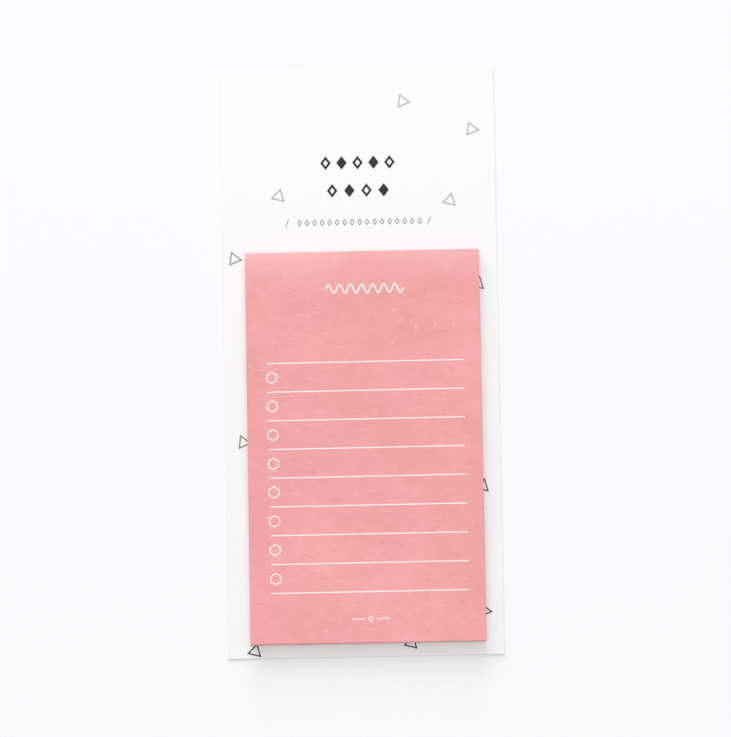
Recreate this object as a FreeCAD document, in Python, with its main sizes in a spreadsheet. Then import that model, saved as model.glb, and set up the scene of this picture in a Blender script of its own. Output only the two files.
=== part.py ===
# Daily planner pad: a block of tear-off sheets, stuck by its head to a flat backing card.
#
# Millimetres.  The origin is the centre of the card's back face.  +X runs to the right of
# the printed face, +Y towards the card's head and +Z out of the printed face.

import FreeCAD, Part
import os
import Sketcher

# alias, value, what it measures
SIZES = [
    ("card_width", 70.0, "backing card, side to side"),
    ("card_height", 150.0, "backing card, head to foot"),
    ("card_thickness", 0.4, "backing card, coated board"),
    ("card_edge_round", 0.08, "soft edge that the blade leaves round the printed face"),
    ("sheet_width", 60.0, "one sheet, side to side"),
    ("sheet_length", 100.0, "one sheet, head to foot"),
    ("sheet_thickness", 0.1, "one sheet of uncoated paper"),
    ("sheet_count", 30, "sheets in the pad"),
    ("pad_foot_margin", 3.7, "card's foot edge to the top sheet's foot edge"),
    ("pad_side_offset", 0.65, "pad's middle, to the right of the card's middle"),
    ("pad_lean", 0.3, "how far the bottom sheet has slid past the top sheet's foot"),
    ("strip_height", 15.0, "adhesive strip, along the card's height"),
    ("strip_thickness", 0.1, "adhesive strip"),
    ("strip_head_inset", 2.0, "bottom sheet's head edge to the strip"),
    ("strip_side_inset", 1.5, "pad's side edges to the strip's ends"),
]


def add_size_sheet(doc):
    """Write the driving dimensions into a spreadsheet called sizes."""
    sheet = doc.addObject("Spreadsheet::Sheet", "sizes")
    for row, (alias, value, meaning) in enumerate(SIZES, start=1):
        cell = "B%d" % row
        sheet.set("A%d" % row, alias)
        sheet.set(cell, str(value))
        sheet.set("C%d" % row, meaning)
        sheet.setAlias(cell, alias)
    doc.recompute()
    return sheet


def add_body(doc, label, x="0", y="0", z="0"):
    """Start a body whose placement follows three expressions."""
    body = doc.addObject("PartDesign::Body", label)
    body.Label = label
    body.setExpression("Placement.Base.x", x)
    body.setExpression("Placement.Base.y", y)
    body.setExpression("Placement.Base.z", z)
    return body


def add_sketch(body, name, plane_role):
    """Put a sketch flat on one of the body's own origin planes."""
    sketch = body.newObject("Sketcher::SketchObject", name)
    planes = [item for item in body.Origin.OriginFeatures if item.Role == plane_role]
    sketch.AttachmentSupport = (planes[0], "")
    sketch.MapMode = "FlatFace"
    return sketch


def draw_outline(sketch, corners):
    """Draw a closed outline of straight lines, each joined to the next."""
    count = len(corners)
    for index, (x, y) in enumerate(corners):
        next_x, next_y = corners[(index + 1) % count]
        start = FreeCAD.Vector(x, y, 0)
        end = FreeCAD.Vector(next_x, next_y, 0)
        sketch.addGeometry(Part.LineSegment(start, end), False)
    for index in range(count):
        following = (index + 1) % count
        sketch.addConstraint(Sketcher.Constraint("Coincident", index, 2, following, 1))


def bind(sketch, constraint, name, expression):
    """Add a named constraint and tie it to the size sheet."""
    index = sketch.addConstraint(constraint)
    sketch.renameConstraint(index, name)
    sketch.setExpression("Constraints." + name, expression)


def draw_centred_rectangle(sketch, width, length, width_expression, length_expression):
    """Draw a rectangle about the sketch's origin, width along its X and length along its Y."""
    right = width / 2
    top = length / 2
    draw_outline(sketch, [(-right, -top), (right, -top), (right, top), (-right, top)])
    for line in (0, 2):
        sketch.addConstraint(Sketcher.Constraint("Horizontal", line))
    for line in (1, 3):
        sketch.addConstraint(Sketcher.Constraint("Vertical", line))
    sketch.addConstraint(Sketcher.Constraint("Symmetric", 0, 1, 1, 2, -1, 1))
    bind(sketch, Sketcher.Constraint("DistanceX", 0, 1, 0, 2, width), "width", width_expression)
    bind(sketch, Sketcher.Constraint("DistanceY", 1, 1, 1, 2, length), "length", length_expression)


def add_pad(body, name, sketch, length_expression, side_type="One side"):
    """Thicken a sketch by a length from the size sheet."""
    pad = body.newObject("PartDesign::Pad", name)
    pad.Profile = sketch
    pad.SideType = side_type
    pad.setExpression("Length", length_expression)
    sketch.Visibility = False
    return pad


def edges_at_height(shape, height):
    """Name the edges that lie wholly in the plane Z = height."""
    names = []
    for index, edge in enumerate(shape.Edges, start=1):
        if all(abs(vertex.Z - height) < 1e-6 for vertex in edge.Vertexes):
            names.append("Edge%d" % index)
    return names


def make_backing_card(doc, sheet):
    """Flat card with square corners, its printed face eased all round by the blade."""
    body = add_body(doc, "backing_card")
    outline = add_sketch(body, "card_outline", "XY_Plane")
    draw_centred_rectangle(outline, sheet.card_width, sheet.card_height,
                           "sizes.card_width", "sizes.card_height")
    board = add_pad(body, "card_board", outline, "sizes.card_thickness")
    doc.recompute()
    eased = body.newObject("PartDesign::Fillet", "card_eased_edge")
    eased.Base = (board, edges_at_height(board.Shape, sheet.card_thickness))
    eased.setExpression("Radius", "sizes.card_edge_round")
    body.Tip = eased
    return body


def make_adhesive_strip(doc, sheet):
    """Thin strip on the card's face, under the pad's head."""
    body = add_body(
        doc, "adhesive_strip",
        x="sizes.pad_side_offset",
        y="sizes.pad_foot_margin - sizes.card_height / 2 + sizes.sheet_length - sizes.pad_lean"
          " - sizes.strip_head_inset - sizes.strip_height / 2",
        z="sizes.card_thickness")
    outline = add_sketch(body, "strip_outline", "XY_Plane")
    width = sheet.sheet_width - 2 * sheet.strip_side_inset
    draw_centred_rectangle(outline, width, sheet.strip_height,
                           "sizes.sheet_width - 2 * sizes.strip_side_inset", "sizes.strip_height")
    add_pad(body, "strip_layer", outline, "sizes.strip_thickness")
    return body


def make_sheet_pad(doc, sheet):
    """Block of sheets with square edges, leaning so that the lower sheets show at the foot.

    The body's origin is the middle of the top sheet's foot edge, dropped to the pad's underside.
    """
    body = add_body(
        doc, "sheet_pad",
        x="sizes.pad_side_offset",
        y="sizes.pad_foot_margin - sizes.card_height / 2",
        z="sizes.card_thickness + sizes.strip_thickness")
    profile = add_sketch(body, "pad_side_profile", "YZ_Plane")
    length = sheet.sheet_length
    thickness = sheet.sheet_count * sheet.sheet_thickness
    lean = sheet.pad_lean
    draw_outline(profile, [(-lean, 0), (length - lean, 0), (length, thickness), (0, thickness)])
    underside, top_face, foot_edge = 0, 2, 3
    for line in (underside, top_face):
        profile.addConstraint(Sketcher.Constraint("Horizontal", line))
    profile.addConstraint(Sketcher.Constraint("PointOnObject", underside, 1, -1))
    profile.addConstraint(Sketcher.Constraint("PointOnObject", foot_edge, 1, -2))
    bind(profile, Sketcher.Constraint("DistanceX", underside, 1, underside, 2, length),
         "underside_length", "sizes.sheet_length")
    bind(profile, Sketcher.Constraint("DistanceX", top_face, 2, top_face, 1, length),
         "top_length", "sizes.sheet_length")
    bind(profile, Sketcher.Constraint("DistanceX", foot_edge, 2, foot_edge, 1, lean),
         "lean", "sizes.pad_lean")
    bind(profile, Sketcher.Constraint("DistanceY", foot_edge, 2, foot_edge, 1, thickness),
         "thickness", "sizes.sheet_count * sizes.sheet_thickness")
    add_pad(body, "pad_block", profile, "sizes.sheet_width", "Symmetric")
    return body


def check_document(doc):
    """Stop if any object failed to recompute."""
    for item in doc.Objects:
        if "Invalid" in item.State or "Error" in item.State:
            raise RuntimeError("%s failed: %s" % (item.Label, item.State))


def check_shape(body):
    """Stop unless a body holds one sound solid."""
    shape = body.Shape
    if shape.isNull() or not shape.isValid() or len(shape.Solids) != 1:
        raise RuntimeError("%s has no sound solid" % body.Label)


def main():
    doc = FreeCAD.newDocument("planner_pad")
    sheet = add_size_sheet(doc)
    bodies = [
        make_backing_card(doc, sheet),
        make_adhesive_strip(doc, sheet),
        make_sheet_pad(doc, sheet),
    ]
    doc.recompute()
    check_document(doc)
    for body in bodies:
        check_shape(body)

    os.makedirs("parts", exist_ok=True)
    for body in bodies:
        body.Shape.exportStep("parts/%s.step" % body.Label)
        box = body.Shape.BoundBox
        print("%-15s volume %9.2f mm3, X %.2f to %.2f, Y %.2f to %.2f, Z %.2f to %.2f" % (
            body.Label, body.Shape.Volume, box.XMin, box.XMax, box.YMin, box.YMax, box.ZMin, box.ZMax))


main()
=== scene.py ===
# Planner pad lying on a pale table: a stack of pink sheets stuck to a long printed card.
import math
import random
import bpy
from mathutils import Euler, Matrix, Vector, noise


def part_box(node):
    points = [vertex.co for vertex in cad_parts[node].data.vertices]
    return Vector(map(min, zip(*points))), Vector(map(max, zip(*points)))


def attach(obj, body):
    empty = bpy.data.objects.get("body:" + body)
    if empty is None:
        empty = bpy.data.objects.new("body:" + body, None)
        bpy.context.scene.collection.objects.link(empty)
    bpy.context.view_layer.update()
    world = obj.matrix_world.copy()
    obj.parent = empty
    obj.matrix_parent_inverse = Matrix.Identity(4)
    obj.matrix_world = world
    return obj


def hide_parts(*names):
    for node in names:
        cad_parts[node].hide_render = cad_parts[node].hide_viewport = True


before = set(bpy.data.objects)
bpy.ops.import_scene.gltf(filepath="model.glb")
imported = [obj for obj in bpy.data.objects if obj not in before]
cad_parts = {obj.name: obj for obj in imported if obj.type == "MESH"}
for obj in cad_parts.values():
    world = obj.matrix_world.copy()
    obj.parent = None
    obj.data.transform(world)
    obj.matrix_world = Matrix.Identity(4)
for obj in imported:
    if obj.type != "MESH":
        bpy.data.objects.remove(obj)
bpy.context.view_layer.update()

mm = 0.001
cardLow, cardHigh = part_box("backing_card")
padLow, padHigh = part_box("sheet_pad")
cardWidth = cardHigh.x - cardLow.x
cardHeight = cardHigh.y - cardLow.y
print("frame loaded: card %.0f x %.0f mm" % (cardWidth / mm, cardHeight / mm))


# Small helpers for node trees

def addNode(tree, kind, **values):
    node = tree.nodes.new(kind)
    for name, value in values.items():
        setattr(node, name, value)
    return node


def setInputs(node, **values):
    # an underscore stands for the space in a socket's name
    for name, value in values.items():
        node.inputs[name.replace("_", " ")].default_value = value
    return node


def join(tree, source, target):
    tree.links.new(source, target)


def mathNode(tree, operation, first, second=None):
    node = addNode(tree, "ShaderNodeMath", operation=operation)
    for slot, value in enumerate((first, second)):
        if value is None:
            continue
        if isinstance(value, (int, float)):
            node.inputs[slot].default_value = value
        else:
            join(tree, value, node.inputs[slot])
    return node.outputs[0]


def newGroup(name, inputs, outputs):
    group = bpy.data.node_groups.new(name, "ShaderNodeTree")
    for label, kind, value in inputs:
        socket = group.interface.new_socket(name=label, in_out="INPUT", socket_type=kind)
        if value is not None:
            socket.default_value = value
    for label, kind in outputs:
        group.interface.new_socket(name=label, in_out="OUTPUT", socket_type=kind)
    return group, addNode(group, "NodeGroupInput"), addNode(group, "NodeGroupOutput")


def placeGroup(tree, group, position, **values):
    node = addNode(tree, "ShaderNodeGroup", node_tree=group)
    join(tree, position, node.inputs["Position"])
    return setInputs(node, **values)


def ramp(tree, value, low, high, bottom=0.0, top=1.0):
    # runs from bottom at low to top at high, and stays level beyond
    node = addNode(tree, "ShaderNodeMapRange", clamp=True)
    setInputs(node, From_Min=low, From_Max=high, To_Min=bottom, To_Max=top)
    join(tree, value, node.inputs["Value"])
    return node.outputs[0]


def makePaperGrainGroup():
    # clouds, uneven dye, short lying fibres and a fine tooth, as in soft uncoated paper
    group, given, result = newGroup(
        "paperGrain",
        [("Position", "NodeSocketVector", None), ("Cloud Size", "NodeSocketFloat", 0.006),
         ("Fibre Length", "NodeSocketFloat", 0.002), ("Fibre Width", "NodeSocketFloat", 0.0003)],
        [("Clouds", "NodeSocketFloat"), ("Dye", "NodeSocketFloat"), ("Light Fibres", "NodeSocketFloat"),
         ("Dark Fibres", "NodeSocketFloat"), ("Relief", "NodeSocketFloat")])
    position = given.outputs["Position"]
    toothSize = 0.35 * mm

    def blotches(size, detail, offset, roughness=0.55):
        mapping = addNode(group, "ShaderNodeMapping")
        mapping.inputs["Location"].default_value = (offset, offset, offset)
        join(group, position, mapping.inputs["Vector"])
        texture = addNode(group, "ShaderNodeTexNoise")
        setInputs(texture, Detail=detail, Roughness=roughness)
        join(group, mapping.outputs[0], texture.inputs["Vector"])
        if isinstance(size, float):
            texture.inputs["Scale"].default_value = 1 / size
        else:
            join(group, mathNode(group, "DIVIDE", 1.0, size), texture.inputs["Scale"])
        return texture.outputs["Fac"]

    def fibreLayer(turn, offset, bend):
        # fibres lie along X, turned by some degrees
        scale = addNode(group, "ShaderNodeCombineXYZ")
        join(group, mathNode(group, "DIVIDE", 1.0, given.outputs["Fibre Length"]), scale.inputs["X"])
        join(group, mathNode(group, "DIVIDE", 1.0, given.outputs["Fibre Width"]), scale.inputs["Y"])
        join(group, mathNode(group, "DIVIDE", 1.0, given.outputs["Fibre Length"]), scale.inputs["Z"])
        mapping = addNode(group, "ShaderNodeMapping")
        mapping.inputs["Rotation"].default_value = (0, 0, math.radians(turn))
        mapping.inputs["Location"].default_value = (offset, offset * 2, 0)
        join(group, position, mapping.inputs["Vector"])
        join(group, scale.outputs[0], mapping.inputs["Scale"])
        texture = addNode(group, "ShaderNodeTexNoise")
        setInputs(texture, Scale=1.0, Detail=1.0, Roughness=0.4, Distortion=bend)
        join(group, mapping.outputs[0], texture.inputs["Vector"])
        return texture.outputs["Fac"]

    clouds = blotches(given.outputs["Cloud Size"], 6.0, 0.11, roughness=0.82)
    join(group, ramp(group, clouds, 0.32, 0.68), result.inputs["Clouds"])
    join(group, ramp(group, blotches(given.outputs["Cloud Size"], 1.0, 0.37), 0.35, 0.65),
         result.inputs["Dye"])

    def fibres(layers):
        # each layer: turn, offset, bend, and the noise levels where a fibre starts and is full
        both = None
        for turn, offset, bend, low, high in layers:
            layer = ramp(group, fibreLayer(turn, offset, bend), low, high)
            both = layer if both is None else mathNode(group, "MAXIMUM", both, layer)
        return both

    lightFibres = fibres([(4, 3.1, 0.2, 0.68, 0.78), (-12, 7.7, 0.4, 0.68, 0.78),
                          (48, 5.3, 0.8, 0.70, 0.80)])
    darkFibres = fibres([(-3, 13.9, 0.3, 0.68, 0.80), (-38, 9.1, 0.8, 0.72, 0.82)])
    join(group, lightFibres, result.inputs["Light Fibres"])
    join(group, darkFibres, result.inputs["Dark Fibres"])

    # light fibres stand up and dark ones are pressed in
    relief = blotches(toothSize, 2.0, 0.0)
    relief = mathNode(group, "ADD", relief, mathNode(group, "MULTIPLY", lightFibres, 0.6))
    relief = mathNode(group, "SUBTRACT", relief, mathNode(group, "MULTIPLY", darkFibres, 0.4))
    join(group, relief, result.inputs["Relief"])
    return group


def makeCutEdgeGroup():
    # thin level streaks on an edge that a blade cut through many layers
    group, given, result = newGroup(
        "cutEdge",
        [("Position", "NodeSocketVector", None), ("Layer", "NodeSocketFloat", 0.0001),
         ("Upright", "NodeSocketFloat", 0.4), ("Flat", "NodeSocketFloat", 0.7)],
        [("Streaks", "NodeSocketFloat"), ("Edge", "NodeSocketFloat"), ("Headward", "NodeSocketFloat")])
    streaksPerMetre = 55.0
    streaksPerLayer = 0.3
    scale = addNode(group, "ShaderNodeCombineXYZ")
    setInputs(scale, X=streaksPerMetre, Y=streaksPerMetre)
    join(group, mathNode(group, "DIVIDE", streaksPerLayer, given.outputs["Layer"]), scale.inputs["Z"])
    stretched = addNode(group, "ShaderNodeVectorMath", operation="MULTIPLY")
    join(group, given.outputs["Position"], stretched.inputs[0])
    join(group, scale.outputs[0], stretched.inputs[1])
    texture = addNode(group, "ShaderNodeTexNoise")
    setInputs(texture, Scale=1.0, Detail=3.0, Roughness=0.6)
    join(group, stretched.outputs[0], texture.inputs["Vector"])
    join(group, ramp(group, texture.outputs["Fac"], 0.3, 0.7), result.inputs["Streaks"])
    # 1 on upright faces and 0 on flat ones, by how far up the face looks
    geometry = addNode(group, "ShaderNodeNewGeometry")
    parts = addNode(group, "ShaderNodeSeparateXYZ")
    join(group, geometry.outputs["True Normal"], parts.inputs[0])
    upward = mathNode(group, "ABSOLUTE", parts.outputs["Z"])
    mask = setInputs(addNode(group, "ShaderNodeMapRange", clamp=True), To_Min=1.0, To_Max=0.0)
    join(group, upward, mask.inputs["Value"])
    join(group, given.outputs["Upright"], mask.inputs["From Min"])
    join(group, given.outputs["Flat"], mask.inputs["From Max"])
    join(group, mask.outputs[0], result.inputs["Edge"])
    # and 1 on faces that look towards the head
    join(group, ramp(group, parts.outputs["Y"], 0.5, 0.8), result.inputs["Headward"])
    return group


paperGrain = makePaperGrainGroup()
cutEdge = makeCutEdgeGroup()


def newMaterial(name):
    material = bpy.data.materials.new(name)
    material.use_nodes = True
    tree = material.node_tree
    tree.nodes.clear()
    shader = addNode(tree, "ShaderNodeBsdfPrincipled")
    output = addNode(tree, "ShaderNodeOutputMaterial")
    join(tree, shader.outputs[0], output.inputs["Surface"])
    position = addNode(tree, "ShaderNodeTexCoord").outputs["Object"]
    return material, tree, shader, position


def mixColours(tree, factor, first, second):
    # each colour is a tuple or a socket
    node = addNode(tree, "ShaderNodeMix", data_type="RGBA", clamp_factor=True)
    join(tree, factor, node.inputs["Factor"])
    # the node has sockets for each kind of data, and these are the ones for colours
    firstColour, secondColour, mixed = node.inputs[6], node.inputs[7], node.outputs[2]
    for socket, value in ((firstColour, first), (secondColour, second)):
        if isinstance(value, tuple):
            socket.default_value = (*value, 1.0)
        else:
            join(tree, value, socket)
    return mixed


def addTooth(tree, shader, grain, roughness, depth):
    # roughness runs from the grain's hollows to its tops
    relief = grain.outputs["Relief"]
    join(tree, ramp(tree, relief, 0.2, 1.0, *roughness), shader.inputs["Roughness"])
    bump = addNode(tree, "ShaderNodeBump")
    setInputs(bump, Strength=1.0, Distance=depth)
    join(tree, relief, bump.inputs["Height"])
    join(tree, bump.outputs[0], shader.inputs["Normal"])


pinkPaperLook = {
    "base": (0.846, 0.350, 0.368),       # the full, cooler dye
    "warm": (0.838, 0.349, 0.334),       # patches that took less of the dye, and most of the sheet towards its right
    "cloud": (0.917, 0.416, 0.418),      # the paler patches
    "lightFibre": (0.94, 0.49, 0.48),
    "darkFibre": (0.74, 0.30, 0.30),
    "fibreAmount": 0.6,
    "cutEdge": (0.95, 0.81, 0.80),       # where the blade opened the fibres
    "cutEdgeDark": (0.90, 0.67, 0.67),
    "shadedHeadEdge": (0.70, 0.42, 0.43),     # painted shade: the edges facing the head are painted darker, so they throw less light onto the card
    "shadedHeadAmount": 0.75,
    "coolLeft": 1.4,                      # share of the cooler colour at each side: the sheet runs cooler to the left and warmer to the right
    "coolRight": 0.2,
    "paintedHeadLight": (1.0, 0.615, 0.63),      # painted light: a paler band painted along the head, where more light falls
    "paleAmount": 0.48,
    "paleRight": 0.7,                    # less so towards the right
    "paleMiddle": 0.55,                  # and in the middle
    "middleReach": (2 * mm, 18 * mm),    # it grows back to full over this stretch sideways
    "paleDepth": 23 * mm,
    "paleSoftness": 3.5,
    "cloudSize": 24 * mm,
    "fibreLength": 2.6 * mm,
    "fibreWidth": 0.5 * mm,
    "toothDepth": 0.02 * mm,
    "sheetThickness": 0.1 * mm,
    "roughness": (0.92, 0.78),           # in the grain's hollows and on its tops
    "gloss": 0.25,
}


def makePinkPaper():
    look = pinkPaperLook
    material, tree, shader, position = newMaterial("pinkPaper")
    setInputs(shader, Specular_IOR_Level=look["gloss"])
    grain = placeGroup(tree, paperGrain, position, Cloud_Size=look["cloudSize"],
                       Fibre_Length=look["fibreLength"], Fibre_Width=look["fibreWidth"])
    edge = placeGroup(tree, cutEdge, position, Layer=look["sheetThickness"])
    place = addNode(tree, "ShaderNodeSeparateXYZ")
    join(tree, position, place.inputs[0])
    coolness = ramp(tree, place.outputs["X"], padLow.x, padHigh.x, look["coolLeft"], look["coolRight"])
    coolness = mathNode(tree, "MULTIPLY", grain.outputs["Dye"], coolness)
    dyed = mixColours(tree, coolness, look["warm"], look["base"])
    colour = mixColours(tree, grain.outputs["Clouds"], dyed, look["cloud"])
    lightAmount = mathNode(tree, "MULTIPLY", grain.outputs["Light Fibres"], look["fibreAmount"])
    colour = mixColours(tree, lightAmount, colour, look["lightFibre"])
    darkAmount = mathNode(tree, "MULTIPLY", grain.outputs["Dark Fibres"], look["fibreAmount"])
    colour = mixColours(tree, darkAmount, colour, look["darkFibre"])
    # painted light: a paler band along the head, strongest at the left and weaker in the middle
    nearHead = ramp(tree, place.outputs["Y"], padHigh.y - look["paleDepth"], padHigh.y)
    nearHead = mathNode(tree, "POWER", nearHead, look["paleSoftness"])
    leftward = ramp(tree, place.outputs["X"], padLow.x, padHigh.x, look["paleAmount"],
                    look["paleAmount"] * look["paleRight"])
    outward = mathNode(tree, "ABSOLUTE", place.outputs["X"])
    outward = ramp(tree, outward, *look["middleReach"], look["paleMiddle"], 1.0)
    pale = mathNode(tree, "MULTIPLY", mathNode(tree, "MULTIPLY", nearHead, leftward), outward)
    colour = mixColours(tree, pale, colour, look["paintedHeadLight"])
    edgeColour = mixColours(tree, edge.outputs["Streaks"], look["cutEdgeDark"], look["cutEdge"])
    # painted shade on the edges that face the head
    shadedHead = mathNode(tree, "MULTIPLY", edge.outputs["Headward"], look["shadedHeadAmount"])
    edgeColour = mixColours(tree, shadedHead, edgeColour, look["shadedHeadEdge"])
    colour = mixColours(tree, edge.outputs["Edge"], colour, edgeColour)
    join(tree, colour, shader.inputs["Base Color"])
    addTooth(tree, shader, grain, look["roughness"], look["toothDepth"])
    return material


cardLook = {
    # painted light and shade: the face is painted lighter at the head and darker at the foot, as the
    # light falls off
    "head": (0.978, 0.969, 0.986),
    "foot": (0.911, 0.919, 0.920),
    "headFull": 0.8,                     # share of the way up where the head's colour is full
    "headSoftness": 2.6,                 # how late the foot's colour gives way to it
    "cloud": (0.935, 0.930, 0.940),
    "cloudAmount": 0.3,
    "coreAndEdgeShade": (0.85, 0.845, 0.84),         # the board inside, on the cut edges; it also reaches onto the rounded top of each edge as painted shade, a thin dark line round the card
    "paleCoreAndEdgeShade": (0.92, 0.915, 0.91),
    "plyThickness": 0.12 * mm,
    "cutFrom": (0.9, 0.985),             # faces that look up less than this show the core colour, the rounded top of the edge among them, where it is painted shade
    "cloudSize": 9 * mm,
    "fibreLength": 1.4 * mm,
    "fibreWidth": 0.5 * mm,
    "toothDepth": 0.004 * mm,
    "roughness": (0.76, 0.64),
    "gloss": 0.06,
}


def makeCoatedCard():
    look = cardLook
    material, tree, shader, position = newMaterial("coatedCard")
    setInputs(shader, Specular_IOR_Level=look["gloss"])
    grain = placeGroup(tree, paperGrain, position, Cloud_Size=look["cloudSize"],
                       Fibre_Length=look["fibreLength"], Fibre_Width=look["fibreWidth"])
    upright, flat = look["cutFrom"]
    edge = placeGroup(tree, cutEdge, position, Layer=look["plyThickness"], Upright=upright, Flat=flat)
    place = addNode(tree, "ShaderNodeSeparateXYZ")
    join(tree, position, place.inputs[0])
    # painted light and shade: lighter towards the head, darker towards the foot
    headward = ramp(tree, place.outputs["Y"], cardLow.y, look["headFull"] * cardHigh.y)
    headward = mathNode(tree, "POWER", headward, look["headSoftness"])
    colour = mixColours(tree, headward, look["foot"], look["head"])
    cloudAmount = mathNode(tree, "MULTIPLY", grain.outputs["Clouds"], look["cloudAmount"])
    colour = mixColours(tree, cloudAmount, colour, look["cloud"])
    # the board's core on the cut edges, and painted shade as a thin dark line on the rounded top of
    # each edge
    coreAndEdgeShadeColour = mixColours(tree, edge.outputs["Streaks"], look["coreAndEdgeShade"], look["paleCoreAndEdgeShade"])
    colour = mixColours(tree, edge.outputs["Edge"], colour, coreAndEdgeShadeColour)
    join(tree, colour, shader.inputs["Base Color"])
    addTooth(tree, shader, grain, look["roughness"], look["toothDepth"])
    return material


inkLook = {
    "whiteInk": (0.98, 0.87, 0.845),
    "paleInk": (0.97, 0.66, 0.66),
    "smallInk": (0.24, 0.235, 0.23),
    "blackInk": (0.025, 0.023, 0.024),
    "cloudSize": 3 * mm,
    "fibreLength": 1.5 * mm,
    "fibreWidth": 0.3 * mm,
    "toothDepth": 0.01 * mm,
    "roughness": (0.72, 0.5),
    "blackRoughness": (0.62, 0.4),
    "gloss": 0.3,
}


def makeInk(name, colour, roughness=inkLook["roughness"]):
    # a plain printed colour: only its roughness and its tooth vary with the paper under it
    look = inkLook
    material, tree, shader, position = newMaterial(name)
    setInputs(shader, Base_Color=(*colour, 1.0), Specular_IOR_Level=look["gloss"])
    grain = placeGroup(tree, paperGrain, position, Cloud_Size=look["cloudSize"],
                       Fibre_Length=look["fibreLength"], Fibre_Width=look["fibreWidth"])
    addTooth(tree, shader, grain, roughness, look["toothDepth"])
    return material


adhesiveLook = {
    "colour": (0.80, 0.78, 0.70),
    "cloud": (0.88, 0.86, 0.80),
    "cloudSize": 2 * mm,
    "fibreLength": 1.2 * mm,
    "fibreWidth": 0.8 * mm,
    "toothDepth": 0.02 * mm,
    "roughness": (0.5, 0.3),
    "gloss": 0.5,
    "coat": 0.2,
}


def makeAdhesive():
    look = adhesiveLook
    material, tree, shader, position = newMaterial("adhesive")
    setInputs(shader, Specular_IOR_Level=look["gloss"], Coat_Weight=look["coat"])
    grain = placeGroup(tree, paperGrain, position, Cloud_Size=look["cloudSize"],
                       Fibre_Length=look["fibreLength"], Fibre_Width=look["fibreWidth"])
    colour = mixColours(tree, grain.outputs["Clouds"], look["colour"], look["cloud"])
    join(tree, colour, shader.inputs["Base Color"])
    addTooth(tree, shader, grain, look["roughness"], look["toothDepth"])
    return material


pinkPaper = makePinkPaper()
coatedCard = makeCoatedCard()
adhesive = makeAdhesive()
whiteInk = makeInk("whiteInk", inkLook["whiteInk"])
paleInk = makeInk("paleInk", inkLook["paleInk"])
smallInk = makeInk("smallInk", inkLook["smallInk"])
blackInk = makeInk("blackInk", inkLook["blackInk"], inkLook["blackRoughness"])
print("materials made")


# Mesh helpers: a mesh is gathered as a list of points and a list of faces

def newShape():
    return {"points": [], "faces": []}


def finishShape(name, shape, materials, replaced=(), sharpAngle=40):
    mesh = bpy.data.meshes.new(name)
    mesh.from_pydata([tuple(p) for p in shape["points"]], [], shape["faces"])
    mesh.validate()
    mesh.update()
    for face in mesh.polygons:
        face.use_smooth = True
    mesh.set_sharp_from_angle(angle=math.radians(sharpAngle))
    for material in materials:
        mesh.materials.append(material)
    piece = bpy.data.objects.new(name, mesh)
    bpy.context.scene.collection.objects.link(piece)
    if replaced:
        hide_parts(*replaced)
    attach(piece, "root")
    return piece


def addSlab(shape, xs, ys, topAt, bottomAt, place):
    # a closed sheet over the grid xs by ys; place turns and shifts each point
    start = len(shape["points"])
    columns, rows = len(xs), len(ys)
    for heightAt in (topAt, bottomAt):
        for y in ys:
            for x in xs:
                shape["points"].append(place(x, y, heightAt(x, y)))
    bottom = start + columns * rows

    def quad(a, b, c, d):
        shape["faces"].append((a, b, c, d))

    for j in range(rows - 1):
        for i in range(columns - 1):
            here = start + j * columns + i
            quad(here, here + 1, here + columns + 1, here + columns)
            under = bottom + j * columns + i
            quad(under, under + columns, under + columns + 1, under + 1)
    rim = [(0, i) for i in range(columns - 1)]
    rim += [(j, columns - 1) for j in range(rows - 1)]
    rim += [(rows - 1, i) for i in range(columns - 1, 0, -1)]
    rim += [(j, 0) for j in range(rows - 1, 0, -1)]
    for k, (j, i) in enumerate(rim):
        nextJ, nextI = rim[(k + 1) % len(rim)]
        here, after = j * columns + i, nextJ * columns + nextI
        quad(bottom + here, bottom + after, start + after, start + here)


def evenSteps(low, high, step):
    count = max(1, math.ceil((high - low) / step - 1e-6))
    return [low + (high - low) * k / count for k in range(count + 1)]


def smoothStep(value):
    value = min(1.0, max(0.0, value))
    return value * value * (3 - 2 * value)


# The card

card = {
    "step": 2.5 * mm,
    "edgeRound": 0.13 * mm,
    "burrWidth": 0.45 * mm,     # the lip that the blade lifts along each cut edge
    "burrHeight": 0.035 * mm,
    "headLift": 0.03 * mm,      # the free head curls off the table a little
    "footLift": 0.03 * mm,
    "headFrom": 0.4,            # where each lift starts, as a share from the middle out
    "footFrom": 0.9,
    "middleLift": 0.4,          # share of the corners' lift that the middle has
    "headLeft": (-0.24 * mm, 0.13 * mm),     # how far each corner is cut out of square
    "headRight": (0.16 * mm, 0.60 * mm),
    "footLeft": (0.0, 0.20 * mm),
    "footRight": (0.12 * mm, 0.20 * mm),
}


def cardWarp(x, y):
    # how far the card lies off the table, more at the corners than in the middle
    halfHeight, halfWidth = cardHeight / 2, cardWidth / 2
    headFrom, footFrom = card["headFrom"], card["footFrom"]
    middle = card["middleLift"]
    head = smoothStep((y / halfHeight - headFrom) / (1 - headFrom))
    foot = smoothStep((-y / halfHeight - footFrom) / (1 - footFrom))
    side = middle + (1 - middle) * (x / halfWidth) ** 2
    return card["headLift"] * head * side + card["footLift"] * foot * side


def cardTop(x, y):
    edge = min(x - cardLow.x, cardHigh.x - x, y - cardLow.y, cardHigh.y - y)
    height = cardHigh.z + cardWarp(x, y)
    if edge < card["burrWidth"]:
        height += card["burrHeight"] * (1 - edge / card["burrWidth"]) ** 2
    radius = card["edgeRound"]
    if edge < radius:
        height -= radius - math.sqrt(max(0.0, radius ** 2 - (radius - edge) ** 2))
    return height


def borderedSteps(low, high, step):
    # even steps inside, with closer ones for the rounded and lipped edge
    edge, burr = card["edgeRound"], card["burrWidth"]
    near = [0.0, 0.25 * edge, edge, 0.4 * burr, 0.65 * burr, burr]
    inner = evenSteps(low + near[-1], high - near[-1], step)
    return [low + d for d in near[:-1]] + inner + [high - d for d in reversed(near[:-1])]


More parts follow.
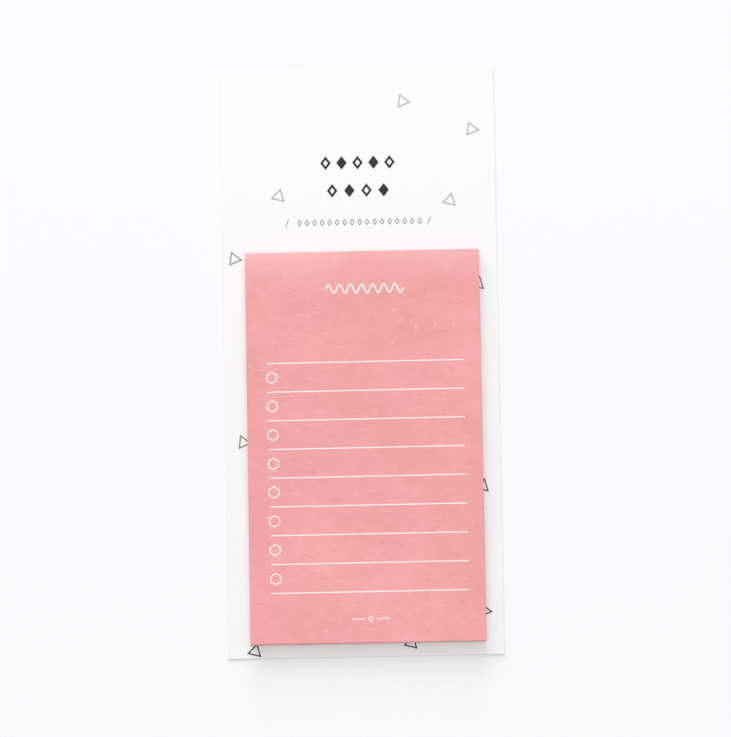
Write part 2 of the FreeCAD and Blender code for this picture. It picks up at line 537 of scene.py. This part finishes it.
def cardPlace(x, y, z):
    # moves a point by the corners' shifts, shared out by its place between them
    u = (x - cardLow.x) / cardWidth
    v = (y - cardLow.y) / cardHeight
    shares = {"headLeft": (1 - u) * v, "headRight": u * v,
              "footLeft": (1 - u) * (1 - v), "footRight": u * (1 - v)}
    dx = sum(card[corner][0] * share for corner, share in shares.items())
    dy = sum(card[corner][1] * share for corner, share in shares.items())
    return (x + dx, y + dy, z)


def makeCard():
    shape = newShape()
    xs = borderedSteps(cardLow.x, cardHigh.x, card["step"])
    ys = borderedSteps(cardLow.y, cardHigh.y, card["step"])
    addSlab(shape, xs, ys, cardTop, cardWarp, cardPlace)
    finishShape("backingCard", shape, [coatedCard], ("backing_card",))


makeCard()
print("card made")


# The pad

pad = {
    "sheetCount": 30,
    "fill": 0.96,               # share of each sheet's room that is paper
    "trimLeft": 0.14 * mm,      # the guillotine cut the pad this much inside its room
    "trimRight": 0.21 * mm,
    "trimHead": 0.10 * mm,
    "trimFoot": 0.25 * mm,
    "lean": 0.11 * mm,          # the bottom sheet has slid this far out at the foot
    "tuck": 0.03 * mm,          # the sheets under the top one stand this far back all round
    "twist": 0.03,              # degrees that the bottom sheet has turned
    "jog": 0.05 * mm,           # uneven jogging of the stack
    "turnJog": 0.02,            # degrees
    "driftKept": 0.8,           # share of a sheet's slide that the next one keeps
    "headPress": 0.36 * mm,     # the bound head is pressed flatter than the rest
    "pressWidth": 6.5 * mm,     # from the head edge down
    "pressMiddle": 0.8,         # share of that press in the middle of the head
    "pressTilt": 0.2,           # added to it at the left side and taken off at the right
    "cornerLift": 0.30 * mm,    # the top sheet's free corners stand up this far
    "middleLift": 0.35,         # and the middle of its foot this share of that
    "liftLength": 28 * mm,      # the lift at the foot starts this far up
    "cockle": 0.03 * mm,        # slow waves over the sheet
    "cockleLength": (23 * mm, 31 * mm),
    "topStep": 1.5 * mm,        # grid steps of the top sheet and of those under it
    "lowerStep": 4 * mm,
    "topPressRows": 8,          # rows of the grid over the pressed head
    "lowerPressRows": 4,
}
sheetLeft = padLow.x + pad["trimLeft"]
sheetRight = padHigh.x - pad["trimRight"]
sheetHead = padHigh.y - pad["trimHead"]
sheetFoot = padLow.y + pad["trimFoot"]
sheetMiddle = (sheetLeft + sheetRight) / 2
halfSheet = (sheetRight - sheetLeft) / 2


def padRise(x, y, level):
    # how far paper lies off its even place; level runs from 0 at the pad's underside to 1 on top
    side = (x - sheetMiddle) / halfSheet
    pressed = max(0.0, 1 - (sheetHead - y) / pad["pressWidth"]) ** 2
    press = -pad["headPress"] * pressed * level * (pad["pressMiddle"] - pad["pressTilt"] * side)
    foot = max(0.0, 1 - (y - sheetFoot) / pad["liftLength"])
    middle = pad["middleLift"]
    lift = pad["cornerLift"] * foot ** 2 * (middle + (1 - middle) * abs(side) ** 3) * level ** 2
    waveX, waveY = pad["cockleLength"]
    wave = noise.noise(Vector((x / waveX, y / waveY, 0.7)))
    return press + lift + pad["cockle"] * wave * level


def sheetFace(index, side):
    # side is 1 for a sheet's top and -1 for its underside
    level = (index + 0.5 + side * pad["fill"] / 2) / pad["sheetCount"]
    base = padLow.z + level * (padHigh.z - padLow.z)
    return lambda x, y: base + padRise(x, y, level)


def sheetPlace(slideX, slideY, turn):
    # turns a sheet about the middle of its head, then slides it
    c, s = math.cos(math.radians(turn)), math.sin(math.radians(turn))

    def place(x, y, z):
        dx, dy = x - sheetMiddle, y - sheetHead
        return (sheetMiddle + dx * c - dy * s + slideX, sheetHead + dx * s + dy * c + slideY, z)
    return place


def sheetSteps(inset, step, pressRows):
    # a sheet's grid, drawn in by inset all round, with closer rows over the pressed head
    pressFrom = sheetHead - pad["pressWidth"]
    xs = evenSteps(sheetLeft + inset, sheetRight - inset, step)
    ys = evenSteps(sheetFoot + inset, pressFrom, step)
    ys += evenSteps(pressFrom, sheetHead - inset, pad["pressWidth"] / pressRows)[1:]
    return xs, ys


def makeLowerSheets():
    random.seed(4)
    shape = newShape()
    xs, ys = sheetSteps(pad["tuck"], pad["lowerStep"], pad["lowerPressRows"])
    drift = Vector((0.0, 0.0))
    for index in range(topIndex):
        down = 1 - index / topIndex
        slide = Vector((random.uniform(-1, 1), random.uniform(-1, 1))) * pad["jog"]
        drift = drift * pad["driftKept"] + slide
        turn = pad["twist"] * down + random.uniform(-pad["turnJog"], pad["turnJog"])
        place = sheetPlace(drift.x, drift.y - pad["lean"] * down, turn)
        addSlab(shape, xs, ys, sheetFace(index, 1), sheetFace(index, -1), place)
    finishShape("lowerSheets", shape, [pinkPaper], ("sheet_pad",), sharpAngle=30)


def makeTopSheet():
    shape = newShape()
    xs, ys = sheetSteps(0, pad["topStep"], pad["topPressRows"])
    addSlab(shape, xs, ys, padFace, sheetFace(topIndex, -1), sheetPlace(0, 0, 0))
    finishShape("topSheet", shape, [pinkPaper], ("sheet_pad",), sharpAngle=30)


topIndex = pad["sheetCount"] - 1
padFace = sheetFace(topIndex, 1)
makeLowerSheets()
makeTopSheet()
print("sheets stacked")


# Print: thin closed layers of ink that follow the surface under them

ink = {
    "rise": 0.025 * mm,         # top of the ink above the paper
    "sink": 0.01 * mm,          # and its underside below it
    "step": 2 * mm,
}


def subdivided(path, closed):
    # the path with points added, so that a long stroke can follow the paper
    points = []
    count = len(path)
    for k in range(count if closed else count - 1):
        first, second = Vector(path[k]), Vector(path[(k + 1) % count])
        pieces = max(1, math.ceil((second - first).length / ink["step"]))
        points += [first.lerp(second, j / pieces) for j in range(pieces)]
    if not closed:
        points.append(Vector(path[-1]))
    return points


def addStroke(shape, path, width, surface, closed=False):
    # a flat line of even width along a path, with mitred corners
    points = subdivided(path, closed)
    count = len(points)
    start = len(shape["points"])
    for k, point in enumerate(points):
        before = points[k - 1] if closed or k > 0 else None
        after = points[(k + 1) % count] if closed or k < count - 1 else None
        arriving = (point - before).normalized() if before is not None else None
        leaving = (after - point).normalized() if after is not None else None
        arriving = leaving if arriving is None else arriving
        leaving = arriving if leaving is None else leaving
        along = (arriving + leaving).normalized()
        across = Vector((-along.y, along.x))
        reach = width / 2 / max(0.3, along.dot(leaving))    # a mitre no longer than 3.3 half widths
        for side in (across * reach, -across * reach):
            x, y = point + side
            height = surface(x, y)
            shape["points"].append((x, y, height + ink["rise"]))
            shape["points"].append((x, y, height - ink["sink"]))
    # each station holds left top, left bottom, right top, right bottom
    for k in range(count if closed else count - 1):
        a, b = start + 4 * k, start + 4 * ((k + 1) % count)
        shape["faces"] += [(a, a + 2, b + 2, b), (a + 1, b + 1, b + 3, a + 3),
                           (a, b, b + 1, a + 1), (a + 2, a + 3, b + 3, b + 2)]
    if not closed:
        end = start + 4 * (count - 1)
        shape["faces"] += [(start, start + 1, start + 3, start + 2), (end, end + 2, end + 3, end + 1)]


def addPatch(shape, outline, surface):
    # a filled spot of ink inside an outline given anticlockwise
    start = len(shape["points"])
    count = len(outline)
    middle = sum((Vector(p) for p in outline), Vector((0, 0))) / count
    for x, y in [*outline, middle]:
        height = surface(x, y)
        shape["points"].append((x, y, height + ink["rise"]))
        shape["points"].append((x, y, height - ink["sink"]))
    hub = start + 2 * count
    for k in range(count):
        a, b = start + 2 * k, start + 2 * ((k + 1) % count)
        shape["faces"] += [(a, b, hub), (b + 1, a + 1, hub + 1), (a, a + 1, b + 1, b)]


def polygon(x, y, radius, sides, firstAngle):
    corners = []
    for k in range(sides):
        angle = math.radians(firstAngle + 360 * k / sides)
        corners.append((x + radius * math.cos(angle), y + radius * math.sin(angle)))
    return corners


padPrint = {
    "firstRule": 28.40 * mm,    # below the sheet's head edge
    "rulePitch": 7.34 * mm,
    "ruleCount": 9,
    "ruleLeft": 5.34 * mm,      # in from the sheet's left edge
    "ruleRight": 4.19 * mm,
    "ruleWidth": 0.31 * mm,
    "boxLeft": 6.51 * mm,
    "boxDrop": 3.66 * mm,       # rule to the box's middle
    "boxRadius": 1.44 * mm,
    "boxLine": 0.3 * mm,
    "dotDrop": 19.42 * mm,      # head edge to the row of dots
    "dotRight": 6.44 * mm,
    "dotPitch": 4.95 * mm,
    "dotRadius": 0.24 * mm,
    "dotSides": 16,
    "dotCount": 3,
    "skew": 0.0055,             # the printed columns run this far off the sheet's side
    "slope": 0.002,             # and the rules this far off its head
}


def makePadPrint():
    p = padPrint
    left, right = sheetLeft + p["ruleLeft"], sheetRight - p["ruleRight"]
    rules, boxes, dots = newShape(), newShape(), newShape()
    for k in range(p["ruleCount"]):
        y = sheetHead - p["firstRule"] - k * p["rulePitch"]
        shift = p["skew"] * ((sheetFoot + sheetHead) / 2 - y)

        def onRule(x):
            return (x, y + p["slope"] * (x - sheetMiddle))

        addStroke(rules, [onRule(left + shift), onRule(right + shift)], p["ruleWidth"], padFace)
        if k < p["ruleCount"] - 1:
            x, boxTop = onRule(sheetLeft + p["boxLeft"] + shift)
            corners = polygon(x, boxTop - p["boxDrop"], p["boxRadius"], 6, 90)
            addStroke(boxes, corners, p["boxLine"], padFace, closed=True)
    for k in range(p["dotCount"]):
        x = sheetRight - p["dotRight"] - k * p["dotPitch"]
        y = sheetHead - p["dotDrop"] + p["slope"] * (x - sheetMiddle)
        addPatch(dots, polygon(x, y, p["dotRadius"], p["dotSides"], 0), padFace)
    finishShape("padRules", rules, [whiteInk])
    finishShape("padCheckBoxes", boxes, [whiteInk])
    finishShape("padDots", dots, [paleInk])


makePadPrint()

# Triangles scattered over the card: millimetres from the card's middle, turn in degrees, grey level
cardTriangles = {
    "side": 3.45 * mm,
    "line": 0.36 * mm,
    "tint": (1.0, 0.97, 0.95),  # the greys are a little warm
    "marks": [
        ((11.72, 67.66), -8, 0.52), ((29.29, 60.08), -8, 0.50), ((-20.46, 43.65), 76, 0.50),
        ((23.41, 41.73), 76, 0.50), ((-32.08, 27.66), -8, 0.36), ((30.2, 20.1), 76, 0.22),
        ((-30.38, -19.58), -8, 0.27), ((30.4, -31.9), 76, 0.14), ((30.2, -63.7), -8, 0.11),
        ((-28.18, -72.96), 76, 0.07), ((11.5, -71.55), 76, 0.08),
    ],
}


def makeCardTriangles():
    t = cardTriangles
    shape = newShape()
    materials, owners = [], []
    for (x, y), turn, grey in t["marks"]:
        # the stroke's outer edge lies on a triangle of the given side
        corners = polygon(x * mm, y * mm, t["side"] / math.sqrt(3) - t["line"] / 2, 3, turn)
        before = len(shape["faces"])
        addStroke(shape, corners, t["line"], cardTop, closed=True)
        name = "greyInk%02d" % round(grey * 100)
        colour = tuple(grey * share for share in t["tint"])
        material = bpy.data.materials.get(name) or makeInk(name, colour)
        if material not in materials:
            materials.append(material)
        owners += [materials.index(material)] * (len(shape["faces"]) - before)
    piece = finishShape("cardTriangles", shape, materials)
    for face, owner in zip(piece.data.polygons, owners):
        face.material_index = owner


makeCardTriangles()


# Plain ornaments where the card's title and its small line stand, and on the pad's head and foot

cardTitle = {
    "height": 3.5 * mm,
    "width": 2.7 * mm,
    "line": 0.56 * mm,
    "rows": [(52.0 * mm, 5, 4.1 * mm), (44.8 * mm, 4, 4.4 * mm)],     # height on the card, count, pitch
    "middle": -0.1 * mm,
    "drawIn": (1.25, 1.6),      # line widths off an outlined diamond, across and up
}
smallLine = {
    "y": 36.6 * mm,
    "slashes": (-18.4 * mm, 17.95 * mm),
    "slashSize": (0.75 * mm, 1.9 * mm),
    "line": 0.19 * mm,
    "marks": 17,
    "left": -15.2 * mm,
    "right": 15.6 * mm,
    "markSize": (1.0 * mm, 1.45 * mm),
}


def diamond(x, y, width, height):
    return [(x + width / 2, y), (x, y + height / 2), (x - width / 2, y), (x, y - height / 2)]


def makeCardTitle():
    t = cardTitle
    shape = newShape()
    across, up = t["drawIn"]
    for y, count, pitch in t["rows"]:
        for k in range(count):
            x = t["middle"] + (k - (count - 1) / 2) * pitch
            if k % 2:
                addPatch(shape, diamond(x, y, t["width"], t["height"]), cardTop)
            else:
                # drawn in so that the outlined ones look as large as the filled ones
                inner = diamond(x, y, t["width"] - across * t["line"], t["height"] - up * t["line"])
                addStroke(shape, inner, t["line"], cardTop, closed=True)
    finishShape("cardTitleMarks", shape, [blackInk])


def makeSmallLine():
    t = smallLine
    shape = newShape()
    width, height = t["slashSize"]
    for x in t["slashes"]:
        slash = [(x - width / 2, t["y"] - height / 2), (x + width / 2, t["y"] + height / 2)]
        addStroke(shape, slash, t["line"], cardTop)
    for k in range(t["marks"]):
        x = t["left"] + (t["right"] - t["left"]) * k / (t["marks"] - 1)
        addStroke(shape, diamond(x, t["y"], *t["markSize"]), t["line"], cardTop, closed=True)
    finishShape("cardSmallLine", shape, [smallInk])


padMarks = {
    "waveLeft": -8.7 * mm,
    "waveRight": 11.1 * mm,
    "waveY": 19.0 * mm,
    "waveHeight": 1.1 * mm,     # either side of the middle
    "waves": 7,
    "stepsPerWave": 16,
    "waveLine": 0.42 * mm,
    "footMiddle": (1.45 * mm, -65.45 * mm),
    "footWidth": 9.6 * mm,
    "footGap": 1.5 * mm,        # from the middle to each dash
    "footDiamond": (1.2 * mm, 1.7 * mm),
    "footLine": 0.26 * mm,
}


def makePadMarks():
    t = padMarks
    shape = newShape()
    steps = t["waves"] * t["stepsPerWave"]
    wave = []
    for k in range(steps + 1):
        share = k / steps
        x = t["waveLeft"] + (t["waveRight"] - t["waveLeft"]) * share
        wave.append((x, t["waveY"] + t["waveHeight"] * math.sin(2 * math.pi * t["waves"] * share)))
    addStroke(shape, wave, t["waveLine"], padFace)
    x, y = t["footMiddle"]
    reach, gap = t["footWidth"] / 2, t["footGap"]
    addStroke(shape, [(x - reach, y), (x - gap, y)], t["footLine"], padFace)
    addStroke(shape, [(x + gap, y), (x + reach, y)], t["footLine"], padFace)
    addStroke(shape, diamond(x, y, *t["footDiamond"]), t["footLine"], padFace, closed=True)
    finishShape("padMarks", shape, [whiteInk])


makeCardTitle()
makeSmallLine()
makePadMarks()
print("print laid")


# The adhesive strip keeps its own shape
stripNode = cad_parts["adhesive_strip"]
stripNode.data.materials.clear()
stripNode.data.materials.append(adhesive)


# Table, light and camera

table = {
    "size": 24.0,
    "colour": (0.946, 0.946, 0.965),
    "cloud": (0.938, 0.938, 0.957),
    "cloudsPerMetre": 2.0,
    "head": (0.961, 0.951, 0.976),       # painted light: beside the card, lighter towards its head
    "foot": (0.931, 0.928, 0.944),
    "footToHead": (-0.09, 0.07),         # metres along Y
    "near": 0.14,                        # these two colours fade out between here
    "far": 0.45,                         # and here, in metres from the card's middle
    "gap": 0.01 * mm,                    # the table lies this far under the card
}


def makeTable():
    material, tree, shader, position = newMaterial("paleTable")
    setInputs(shader, Roughness=1.0, Specular_IOR_Level=0.0)
    texture = addNode(tree, "ShaderNodeTexNoise")
    setInputs(texture, Scale=table["cloudsPerMetre"], Detail=3.0)
    join(tree, position, texture.inputs["Vector"])
    colour = mixColours(tree, texture.outputs["Fac"], table["colour"], table["cloud"])
    place = addNode(tree, "ShaderNodeSeparateXYZ")
    join(tree, position, place.inputs[0])
    # painted light and shade near the card: lighter towards its head, darker towards its foot, fading
    # out further away
    headward = ramp(tree, place.outputs["Y"], *table["footToHead"])
    beside = mixColours(tree, headward, table["foot"], table["head"])
    distance = addNode(tree, "ShaderNodeVectorMath", operation="LENGTH")
    join(tree, position, distance.inputs[0])
    nearby = ramp(tree, distance.outputs["Value"], table["near"], table["far"], 1.0, 0.0)
    join(tree, mixColours(tree, nearby, colour, beside), shader.inputs["Base Color"])
    half = table["size"] / 2
    mesh = bpy.data.meshes.new("table")
    mesh.from_pydata([(-half, -half, 0), (half, -half, 0), (half, half, 0), (-half, half, 0)], [],
                     [(0, 1, 2, 3)])
    mesh.materials.append(material)
    top = bpy.data.objects.new("table", mesh)
    top.location.z = -table["gap"]
    bpy.context.scene.collection.objects.link(top)


light = {
    "sky": 0.592,               # share of the table's light that comes from all round
    "lamps": {
        # share, degrees above the table, turn from the head towards the left, spread
        "windowLow": (0.041, 14, 0, 24),
        "window": (0.088, 27, 0, 32),
        "windowHigh": (0.052, 45, 0, 36),
        "windowLeft": (0.078, 27, 35, 32),
        "windowRight": (0.015, 27, -70, 32),
        "ceiling": (0.147, 89, 0, 60),
    },
    "backdrop": (0.956, 0.956, 0.975),
}


def makeLight():
    for name, (share, height, turn, spread) in light["lamps"].items():
        height, turn = math.radians(height), math.radians(turn)
        data = bpy.data.lights.new(name, "SUN")
        data.angle = math.radians(spread)
        data.energy = share * math.pi / math.sin(height)
        lamp = bpy.data.objects.new(name, data)
        towards = Vector((-math.sin(turn) * math.cos(height), math.cos(turn) * math.cos(height),
                          math.sin(height)))
        lamp.rotation_euler = towards.to_track_quat("Z", "Y").to_euler()
        bpy.context.scene.collection.objects.link(lamp)

    world = bpy.data.worlds.new("softRoom")
    bpy.context.scene.world = world
    world.use_nodes = True
    tree = world.node_tree
    tree.nodes.clear()
    sky = setInputs(addNode(tree, "ShaderNodeBackground"), Color=(1, 1, 1, 1), Strength=light["sky"])
    seen = setInputs(addNode(tree, "ShaderNodeBackground"), Color=(*light["backdrop"], 1), Strength=1.0)
    ray = addNode(tree, "ShaderNodeLightPath")
    blend = addNode(tree, "ShaderNodeMixShader")
    output = addNode(tree, "ShaderNodeOutputWorld")
    join(tree, ray.outputs["Is Camera Ray"], blend.inputs[0])
    join(tree, sky.outputs[0], blend.inputs[1])
    join(tree, seen.outputs[0], blend.inputs[2])
    join(tree, blend.outputs[0], output.inputs["Surface"])


lookDown = {
    "distance": 1.35,
    "aim": (1.05 * mm, -1.17 * mm),
    "tilt": 6.62,               # degrees from straight down, towards the foot
    "roll": 1.46,
    "turn": -0.98,
    "lens": 260.3,              # millimetres, and the sensor too
    "sensorWidth": 36,
}


def makeCamera():
    data = bpy.data.cameras.new("camera")
    data.sensor_width = lookDown["sensorWidth"]
    data.sensor_fit = "HORIZONTAL"
    data.lens = lookDown["lens"]
    data.clip_end = 30      # past the table's far corner
    camera = bpy.data.objects.new("camera", data)
    turn = Euler([math.radians(lookDown[k]) for k in ("tilt", "roll", "turn")], "XYZ")
    forward = turn.to_matrix() @ Vector((0, 0, -1))
    camera.location = Vector((*lookDown["aim"], 0)) - forward * lookDown["distance"]
    camera.rotation_euler = turn
    bpy.context.scene.collection.objects.link(camera)
    bpy.context.scene.camera = camera


makeTable()
makeLight()
makeCamera()
bpy.context.scene.view_settings.view_transform = "Standard"
print("table, light and camera set")
